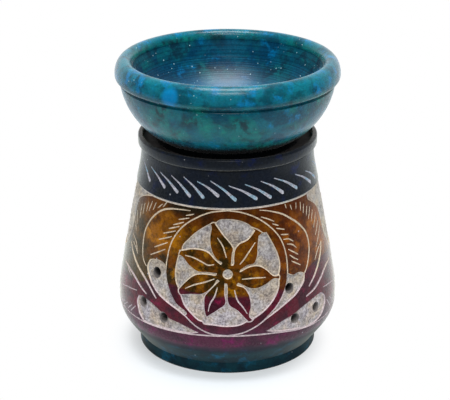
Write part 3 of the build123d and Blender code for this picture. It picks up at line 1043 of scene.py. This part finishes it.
specks = use_group(tree, stone_specks, Vector=where, Scale=620.0, Share=0.04, Size=0.2)["Mask"]
colour = blend(tree, times(tree, specks, 0.7), colour, tint(196, 196, 200))
unpolished_foot = rise(tree, axes["Z"], 0.0135, 0.0105, 0.0, 0.5)
roughness = sums(tree, "ADD", rise(tree, rub, 0.3, 0.75, 0.22, 0.34), unpolished_foot)
rings = use_group(tree, turned_lines, Vector=where, Scale=700.0)["Height"]
dress(tree, shader, Base_Color=colour, Roughness=roughness, Normal=relief(tree, rings, 0.06, 0.0004))
dress(tree, shader, Specular_IOR_Level=0.13, Sheen_Weight=0.66, Sheen_Roughness=0.3)
dress(tree, shader, Sheen_Tint=(1.0, 0.97, 0.82, 1.0))
print(dyed_skin.name, "has", len(tree.nodes), "nodes")

# %% Raw stone: stippled ground, graver cuts and bored faces
stippled_ground, tree, shader, where = new_material("stippled_raw_soapstone")
axes = split(tree, where)
marks = use_group(tree, stipple, Vector=where, Scale=2300.0)
low = rise(tree, axes["Z"], 0.034, 0.024)
dark = blend(tree, low, tint(102, 94, 92), tint(110, 97, 100))
light = blend(tree, low, tint(224, 214, 207), tint(240, 225, 226))
colour = blend(tree, rise(tree, marks["Mottle"], 0.36, 0.64), dark, light)
colour = blend(tree, rise(tree, marks["Pits"], 0.2, 0.05, 0.0, 0.5), colour, tint(90, 80, 80))
stain = dye(tree, where, 210.0, (192, 181, 170), (106, 97, 98), (188, 170, 140), 0.46, 0.36)
colour = blend(tree, 0.46, colour, stain)
hue = noise(tree, where, 170.0, 3.0)
veil = blend(tree, rise(tree, hue, 0.4, 0.6), (1.04, 0.98, 0.87, 1), (0.95, 0.99, 1.07, 1))
colour = blend(tree, 1.0, colour, veil, "MULTIPLY")
smudges = noise(tree, where, 260.0, 5.0, 0.6)
colour = blend(tree, rise(tree, smudges, 0.52, 0.66, 0.0, 0.4), colour, tint(96, 90, 84))
dress(tree, shader, Base_Color=colour, Roughness=0.85, Normal=relief(tree, marks["Pits"], 0.7, 0.0003))
dress(tree, shader, Specular_IOR_Level=0.25, Sheen_Weight=0.6, Sheen_Roughness=0.4)
dress(tree, shader, Sheen_Tint=(1.0, 0.93, 0.78, 1.0))

graver_cut, tree, shader, where = new_material("bright_graver_cut")
axes = split(tree, where)
chips = noise(tree, where, 1500.0, 3.0)
tone = blend(tree, rise(tree, axes["Z"], 0.030, 0.036), tint(216, 200, 202), tint(226, 210, 186))
hue = noise(tree, where, 330.0)
on_band = blend(tree, rise(tree, hue, 0.48, 0.62), tint(202, 202, 212), tint(168, 198, 216))
tone = blend(tree, rise(tree, axes["Z"], 0.0605, 0.0625), tone, on_band)
dull = blend(tree, 1.0, tone, (0.7, 0.68, 0.68, 1), "MULTIPLY")
colour = blend(tree, rise(tree, chips, 0.35, 0.62), dull, tone)
dress(tree, shader, Base_Color=colour, Roughness=0.75, Specular_IOR_Level=0.3)
dress(tree, shader, Normal=relief(tree, chips, 0.4, 0.0002))

bored_stone, tree, shader, where = new_material("bored_raw_soapstone")
axes = split(tree, where)
marks = use_group(tree, stipple, Vector=where, Scale=500.0)
rings = use_group(tree, turned_lines, Vector=where, Scale=450.0)["Height"]
colour = blend(tree, rise(tree, marks["Mottle"], 0.3, 0.7), tint(128, 120, 118), tint(170, 162, 158))
flecks = rise(tree, marks["Mottle"], 0.25, 0.6, 0.5, 0.9)
soot = times(tree, rise(tree, axes["Z"], 0.03, 0.066), flecks)
radius = from_axis(tree, axes)
# The walls of the vents on the front are painted dark in the soot's colour: soot and painted shade inside
# the holes.
vent_shade = times(tree, rise(tree, radius, 0.0262, 0.0272), rise(tree, radius, 0.0375, 0.034, 0.42, 0.96))
vent_shade = times(tree, vent_shade, rise(tree, axes["Y"], 0.0, -0.01))
colour = blend(tree, sums(tree, "MAXIMUM", soot, vent_shade), colour, tint(40, 35, 34))
dress(tree, shader, Base_Color=colour, Roughness=0.8, Normal=relief(tree, rings, 0.35, 0.0005))
print("raw stone finishes:", stippled_ground.name, graver_cut.name, bored_stone.name)

# %% Door and vents cut through the body
VENT_RADIUS, SINK_RADIUS, SINK_DEPTH = 1.5, 2.3, 0.8
vents = [(-50.0, 24.4), (-42.0, 36.5), (-35.0, 21.5), (35.0, 32.1), (37.0, 20.8), (53.0, 21.6)]
SILL_CUT, DOOR_REACH = 0.02, 45
DRILL_START, DRILL_END = 20.0, 44.0
body_finishes = [dyed_skin, stippled_ground, graver_cut, bored_stone]
body = put_in_scene("carved_body", body_turning.mesh("carved_body", body_finishes))


def rod_through(outlines, finish):
    """Points, faces and finishes of a closed rod through 3-D outlines with equal counts."""
    count, last = len(outlines[0]), (len(outlines) - 1) * len(outlines[0])
    faces = [tuple(range(count))[::-1], tuple(range(last, last + count))]
    for first in range(0, last, count):
        for i in range(count):
            near, following = first + i, first + (i + 1) % count
            faces.append((near, following, following + count, near + count))
    return np.vstack(outlines) * MM, faces, [finish] * len(faces)


tools = Turning()
arch = [(DOOR_HALF_WIDTH, 0, DOOR_SILL - SILL_CUT)]
arch += [(x, 0, z) for x, z in arc((0, DOOR_SPRING), (DOOR_HALF_WIDTH, DOOR_HALF_WIDTH), 0, 180, 57)]
arch += [(-DOOR_HALF_WIDTH, 0, DOOR_SILL - SILL_CUT)]
arch = np.array(arch, float)
tools.add(*rod_through([arch, arch + (0, DOOR_REACH, 0)], BORED))
for angle, height in vents:
    out = np.array([math.sin(math.radians(angle)), -math.cos(math.radians(angle)), 0])
    side = np.array([out[1], -out[0], 0])
    surface = float(wall_radius(height))
    stations = [(DRILL_START, VENT_RADIUS), (surface - SINK_DEPTH, VENT_RADIUS)]
    stations += [(surface, SINK_RADIUS), (DRILL_END, SINK_RADIUS)]
    drill = []
    for reach, radius in stations:
        circle = arc((0, height), (radius, radius), 0, 347, 28)
        drill.append(np.array([out * reach + side * x + (0, 0, z) for x, z in circle]))
    tools.add(*rod_through(drill, BORED))
tool_mesh = tools.mesh("door_and_drill", body_finishes)
work = bmesh.new()
work.from_mesh(tool_mesh)
bmesh.ops.recalc_face_normals(work, faces=work.faces)
work.to_mesh(tool_mesh)
work.free()
tool = put_in_scene("door_and_drill", tool_mesh)

boring = body.modifiers.new("bored", "BOOLEAN")
boring.operation = "DIFFERENCE"
boring.solver = "MANIFOLD"
boring.object = tool
bored_mesh = bpy.data.meshes.new_from_object(body.evaluated_get(bpy.context.evaluated_depsgraph_get()))
body.modifiers.clear()
body.data = bored_mesh
bored_mesh.name = "carved_body"
bpy.data.objects.remove(tool)
print("carved body:", len(bored_mesh.polygons), "faces after the door and the vents")

# %% Corners of the body
SHARP_ANGLE = math.radians(27)


def shade_corners(mesh):
    """Smooth faces that meet in sharp corners."""
    mesh.polygons.foreach_set("use_smooth", [True] * len(mesh.polygons))
    mesh.set_sharp_from_angle(angle=SHARP_ANGLE)


shade_corners(bored_mesh)
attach(body, "stand")
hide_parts("burner_body")

# %% [markdown]
# ## The dish
# The dish is turned from its own block: a foot, a round bowl, a groove and a thick rolled lip.
# The tool left fine rings inside it. They are shallow ripples in the turned profile, so they
# catch the light as they do on the real one. The dye is a mottled teal with bright blue clouds
# and pale grains that took none. One function mixes it twice: for the outside with its
# polished lip, and for the basin, where wax has pooled on the floor. Light is painted in
# both. The basin is darker as painted shade and paler on its floor as a painted highlight.
# The outside is painted near black under the bowl as painted shade, and its lip is lighter
# as painted light on the top of the dish.

# %% The dish
BOWL_CENTRE, BOWL_RADIUS = (11.72, 100.12), 25.51
BASIN_FLOOR, BASIN_RADIUS = 81.04, 37.61
RIPPLE = 0.012
SPLASH_CENTRE = (-0.0188, -0.0332, 0.1008)


def rippled(points):
    """Tool rings on a stretch of the inside: the radius swings by a hair."""
    path = np.array(points)
    along = np.r_[0, np.cumsum(np.linalg.norm(np.diff(path, axis=0), axis=1))]
    swing = np.sin(along * 7.1) + 0.8 * np.sin(along * 4.3 + 1) + 0.6 * np.sin(along * 10.7 + 2)
    fade = np.clip(path[:, 0] / 20, 0.15, 1) * np.clip((along[-1] - along) / 2, 0, 1)
    path[:, 1] += RIPPLE * swing * fade
    return [tuple(p) for p in path]


outside = [(0.0, SEAT_HEIGHT), (14.0, SEAT_HEIGHT), (24.6, SEAT_HEIGHT)]
outside += [(25.0, SEAT_HEIGHT + 0.4), (25.0, 78.1)]
outside += arc(BOWL_CENTRE, (BOWL_RADIUS, BOWL_RADIUS), -58.63, -8.55, 28)
outside += [(36.82, 96.55), (36.6, 96.8), (36.48, 97.05), (36.55, 97.3), (36.85, 97.55), (37.15, 97.68)]
outside += arc((37.45, 99.64), (1.3, 1.9), -90, 0, 11)
outside += arc((35.15, 99.64), (3.6, 5.4), 0, 90, 22)[1:]
outside += arc((35.15, 102.04), (2.5, 3.0), 90, 180, 20)[1:]
undercut = [(32.65, 102.04), (32.68, 101.86), (32.6, 101.56)]
inner_wall = [(32.5 - 2.15 * t, 101.3 - 4.86 * t) for t in np.linspace(0, 1, 28)]
basin_swing = np.linspace(math.asin(30.35 / BASIN_RADIUS), 0, 140)
basin = [(BASIN_RADIUS * math.sin(a), BASIN_FLOOR + BASIN_RADIUS * (1 - math.cos(a))) for a in basin_swing]
inside = [*undercut, *rippled(inner_wall), *rippled(basin)[1:-1], (0.0, BASIN_FLOOR)]
dish_turning = Turning(columns=216)
dish_turning.turn(outside, 0)
dish_turning.turn(inside, 1)


def dish_dye(name, tones, patch_tones, low, lip_dye_and_light_share, ring_depth, speck_share, gloss, wax, wax_roughness):
    """Mottled teal dye and wax over tool rings, with pale grains that took no dye, and painted light over
    the lowest part and on the lip.
    """
    finish, tree, shader, where = new_material(name)
    axes = split(tree, where)
    teal = dye(tree, where, 120.0, *tones, 0.5, 0.2)
    patches = dye(tree, where, 190.0, *patch_tones, 0.42, 0.3)
    lip = dye(tree, where, 140.0, (10, 112, 132), (6, 74, 92), (0, 124, 180), 0.46, 0.34)
    clouds = noise(tree, where, 80.0, 4.0)
    colour = blend(tree, rise(tree, clouds, 0.44, 0.58), teal, patches)
    radius = from_axis(tree, axes)
    # The lip takes a lighter tone with its own bright blue blotches: the blotches are the dye's, the extra
    # lightness is painted light on the top of the dish.
    lip_dye_and_light = rise(tree, axes["Z"], 0.0985, 0.1, 0.0, lip_dye_and_light_share)
    lip_dye_and_light = times(tree, lip_dye_and_light, rise(tree, radius, 0.0327, 0.0339))
    colour = blend(tree, lip_dye_and_light, colour, lip)
    to_splash = place(tree, "ShaderNodeVectorMath", {"operation": "DISTANCE"}, Vector=where)
    to_splash.inputs[1].default_value = SPLASH_CENTRE
    ragged = sums(tree, "ADD", to_splash.outputs["Value"], times(tree, clouds, 0.004))
    splash = rise(tree, ragged, 0.0057, 0.0038, 0.0, 0.8)
    colour = blend(tree, splash, colour, tint(0, 130, 190))
    rings = use_group(tree, turned_lines, Vector=where, Scale=1600.0)["Height"]
    groove = rise(tree, rings, 0.58, 0.36, 0.0, ring_depth)
    colour = blend(tree, groove, colour, tint(2, 26, 40))
    specks = use_group(tree, stone_specks, Vector=where, Scale=1100.0, Share=speck_share, Size=0.24)["Mask"]
    colour = blend(tree, times(tree, specks, 0.75), colour, tint(170, 204, 214))
    # A tone painted over the lowest part, as painted light: painted shade under the dish, a painted
    # highlight on the basin floor.
    low_top, low_base, low_share, low_painted_light = low
    colour = blend(tree, rise(tree, axes["Z"], low_top, low_base, 0.0, low_share), colour, tint(*low_painted_light))
    roughness = rise(tree, noise(tree, where, 700.0, 3.0), 0.3, 0.75, 0.2, 0.34)
    wax_edge, wax_full, wax_share = wax
    waxed = rise(tree, axes["Z"], wax_edge, wax_full, 0.0, wax_share)
    dress(tree, shader, Base_Color=colour, Roughness=roughness, Normal=relief(tree, rings, 0.14, 0.0004))
    dress(tree, shader, Coat_Weight=waxed, Coat_Roughness=wax_roughness, Specular_IOR_Level=gloss)
    dress(tree, shader, Sheen_Weight=0.12, Sheen_Roughness=0.3)
    return finish


outer_dye_painted_light = dish_dye(
    "dyed_waxed_dish_painted_light",
    [(4, 100, 116), (6, 72, 92), (0, 128, 178)],
    [(6, 110, 112), (14, 58, 66), (10, 128, 118)],
    # Near black over the foot and the bottom of the bowl: painted shade where the dish sits in the rim.
    low=(0.084, 0.0795, 1.0, (6, 12, 15)),
    lip_dye_and_light_share=0.8,
    ring_depth=0.12,
    speck_share=0.05,
    gloss=0.19,
    wax=(0.0985, 0.1005, 0.2),
    wax_roughness=0.18,
)
basin_dye_painted_light = dish_dye(
    "dyed_waxed_basin_painted_light",
    # Darker tones than the outside's: painted shade inside the bowl.
    [(6, 76, 100), (4, 58, 86), (0, 104, 154)],
    [(8, 80, 96), (12, 50, 66), (10, 98, 106)],
    # The basin floor is painted a paler blue: a painted highlight where the top light falls.
    low=(0.0925, 0.0845, 0.75, (36, 122, 166)),
    lip_dye_and_light_share=0.0,
    ring_depth=0.55,
    speck_share=0.1,
    gloss=0.05,
    wax=(0.0955, 0.0885, 0.7),
    wax_roughness=0.38,
)
dish_mesh = dish_turning.mesh("turned_dish", [outer_dye_painted_light, basin_dye_painted_light])
shade_corners(dish_mesh)
dish = put_in_scene("turned_dish", dish_mesh)
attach(dish, "dish")
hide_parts("oil_dish")

# %% [markdown]
# ## The tealight
# A tealight is a cup drawn from thin aluminium with a rolled edge, filled with wax. A small
# tin disc at the bottom holds the wick in a pinched collar. Cup, wax and disc are turned; the
# wick is three strands twisted round each other, because that is what makes it look like cord.


# %% Cup and its metal
def stand_in_tealight(piece_mesh, node):
    """A piece of the tealight in place of a CAD node."""
    shade_corners(piece_mesh)
    piece = put_in_scene(piece_mesh.name, piece_mesh)
    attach(piece, "tealight")
    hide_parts(node)
    return piece


def grained(tree, shader, grain, tones, roughness):
    """A grain swings the colour between two tones and the roughness between two values."""
    colour = blend(tree, rise(tree, grain, 0.3, 0.7), *tones)
    dress(tree, shader, Base_Color=colour, Roughness=rise(tree, grain, 0.3, 0.7, *roughness))


def sheet_metal(name, colour, roughness):
    """Drawn sheet: fine streaks along the drawing direction and faint dents."""
    metal, tree, shader, where = new_material(name)
    stretch = place(tree, "ShaderNodeMapping", Vector=where, Scale=(1.0, 1.0, 0.06))
    streaks = noise(tree, stretch.outputs[0], 2600.0, 2.0)
    dents = noise(tree, where, 140.0, 2.0)
    dull = tuple(0.9 * channel for channel in colour[:3]) + (1.0,)
    both = sums(tree, "ADD", times(tree, streaks, 0.035), dents)
    grained(tree, shader, streaks, (dull, colour), (roughness, roughness + 0.1))
    dress(tree, shader, Metallic=1.0, Normal=relief(tree, both, 0.25, 0.0006))
    return metal


CUP_BASE, CUP_TOP, CUP_RADIUS, CUP_WALL = 8.0, 24.0, 18.4, 0.4
cup_profile = [(0.0, CUP_BASE), (12.0, CUP_BASE), (17.2, CUP_BASE)]
cup_profile += arc((17.2, CUP_BASE + 1.2), (1.2, 1.2), -80, 0, 8)
cup_profile += [(CUP_RADIUS, 10.6), (18.28, 10.9), (18.28, 11.2), (CUP_RADIUS, 11.5), (CUP_RADIUS, 22.6)]
cup_profile += arc((CUP_RADIUS, CUP_TOP - 0.6), (0.6, 0.6), -80, 90, 12)
cup_profile += arc((CUP_RADIUS, CUP_TOP - 0.4), (CUP_WALL, 0.4), 100, 180, 5)
cup_profile += [(CUP_RADIUS - CUP_WALL, 12.0), (CUP_RADIUS - CUP_WALL, CUP_BASE + 1.2)]
cup_profile += arc((17.2, CUP_BASE + 1.2), (0.8, 0.8), -10, -90, 7)
cup_profile += [(8.0, CUP_BASE + CUP_WALL), (0.0, CUP_BASE + CUP_WALL)]
cup_turning = Turning(columns=120)
cup_turning.turn(cup_profile, 0)
aluminium = sheet_metal("drawn_aluminium", (0.80, 0.81, 0.82, 1.0), 0.24)
cup = stand_in_tealight(cup_turning.mesh("pressed_cup", [aluminium]), "tealight_cup")

# %% Wax
wax_material, tree, shader, where = new_material("poured_paraffin")
cloud = noise(tree, where, 220.0, 4.0)
grained(tree, shader, cloud, (tint(226, 219, 202), tint(243, 239, 228)), (0.3, 0.5))
dress(tree, shader, Subsurface_Weight=0.3, Subsurface_Radius=(0.004, 0.003, 0.002))
dress(tree, shader, Normal=relief(tree, cloud, 0.12, 0.0006))
wax_profile = [(6.1, 8.4), (12.0, 8.4), (17.05, 8.4), (17.85, 9.35), (17.85, 14.0), (17.85, 19.88)]
wax_profile += [(17.6, 19.72), (17.2, 19.6), (16.0, 19.52), (13.0, 19.42), (9.0, 19.34), (5.0, 19.32)]
wax_profile += [(3.0, 19.36), (1.8, 19.5), (1.2, 19.75), (1.0, 19.8), (1.0, 16.0), (1.0, 13.0)]
wax_profile += [(1.6, 12.95), (1.6, 9.0), (6.1, 9.0)]
wax_turning = Turning(columns=96)
wax_turning.turn([*wax_profile, wax_profile[0]], 0)
wax = stand_in_tealight(wax_turning.mesh("poured_wax", [wax_material]), "tealight_wax")

# %% Wick and its tin disc
STRAND_RADIUS, STRAND_OFFSET, STRAND_PITCH = 0.46, 0.42, 4.6
WICK_LOW, WICK_HIGH = 8.9, 25.8
STRAND_STEPS, STRAND_SIDES = 70, 10
wick_turning = Turning()
for strand in range(3):
    rings = []
    for height in np.linspace(WICK_LOW, WICK_HIGH, STRAND_STEPS):
        turn = 2 * math.pi * (strand / 3 + (height - WICK_LOW) / STRAND_PITCH)
        taper = min(1.0, 0.35 + (WICK_HIGH - height) / 0.8)
        middle = STRAND_OFFSET * taper * math.cos(turn), STRAND_OFFSET * taper * math.sin(turn)
        circle = arc(middle, [STRAND_RADIUS * taper] * 2, 0, 360, STRAND_SIDES + 1)[:-1]
        rings.append(np.array([(x, y, height) for x, y in circle]))
    wick_turning.add(*rod_through(rings, 0))

cotton, tree, shader, where = new_material("waxed_cotton")
stretch = place(tree, "ShaderNodeMapping", Vector=where, Scale=(1.0, 1.0, 0.25))
fibres = noise(tree, stretch.outputs[0], 9000.0, 3.0)
grained(tree, shader, fibres, (tint(196, 184, 158), tint(238, 232, 214)), (0.5, 0.8))
dress(tree, shader, Normal=relief(tree, fibres, 0.5, 0.0001))
wick = stand_in_tealight(wick_turning.mesh("twisted_wick", [cotton]), "tealight_wick")

PINCH_LOW, PINCH_HIGH, PINCH_SHARE = 10.5, 12.2, 0.1
disc_profile = [(0.0, 8.4), (3.0, 8.4), (5.8, 8.4), (6.0, 8.55), (6.0, 8.75), (5.8, 8.9), (4.7, 8.9)]
disc_profile += [(4.5, 8.96), (4.1, 8.96), (3.9, 8.9), (1.8, 8.9), (1.58, 8.96), (1.5, 9.15), (1.5, 10.2)]
disc_profile += [(1.5, 11.0), (1.5, 11.8), (1.5, 12.75), (1.42, 12.9), (1.08, 12.9), (1.0, 12.75)]
disc_profile += [(1.0, 11.8), (1.0, 11.0), (1.0, 10.2), (1.0, 8.9), (0.0, 8.9)]
disc_turning = Turning(columns=60)
disc_turning.turn(disc_profile, 0)
tin = sheet_metal("tinned_sheet", (0.62, 0.62, 0.61, 1.0), 0.3)
disc_mesh = disc_turning.mesh("tin_sustainer", [tin])
for vertex in disc_mesh.vertices:
    if PINCH_LOW < vertex.co.z / MM < PINCH_HIGH:
        fold = max(0.0, math.cos(3 * math.atan2(vertex.co.y, vertex.co.x))) ** 4
        vertex.co.xy *= 1 - PINCH_SHARE * fold
sustainer = stand_in_tealight(disc_mesh, "wick_sustainer")
print("tealight pieces:", [piece.name for piece in (cup, wax, wick, sustainer)])
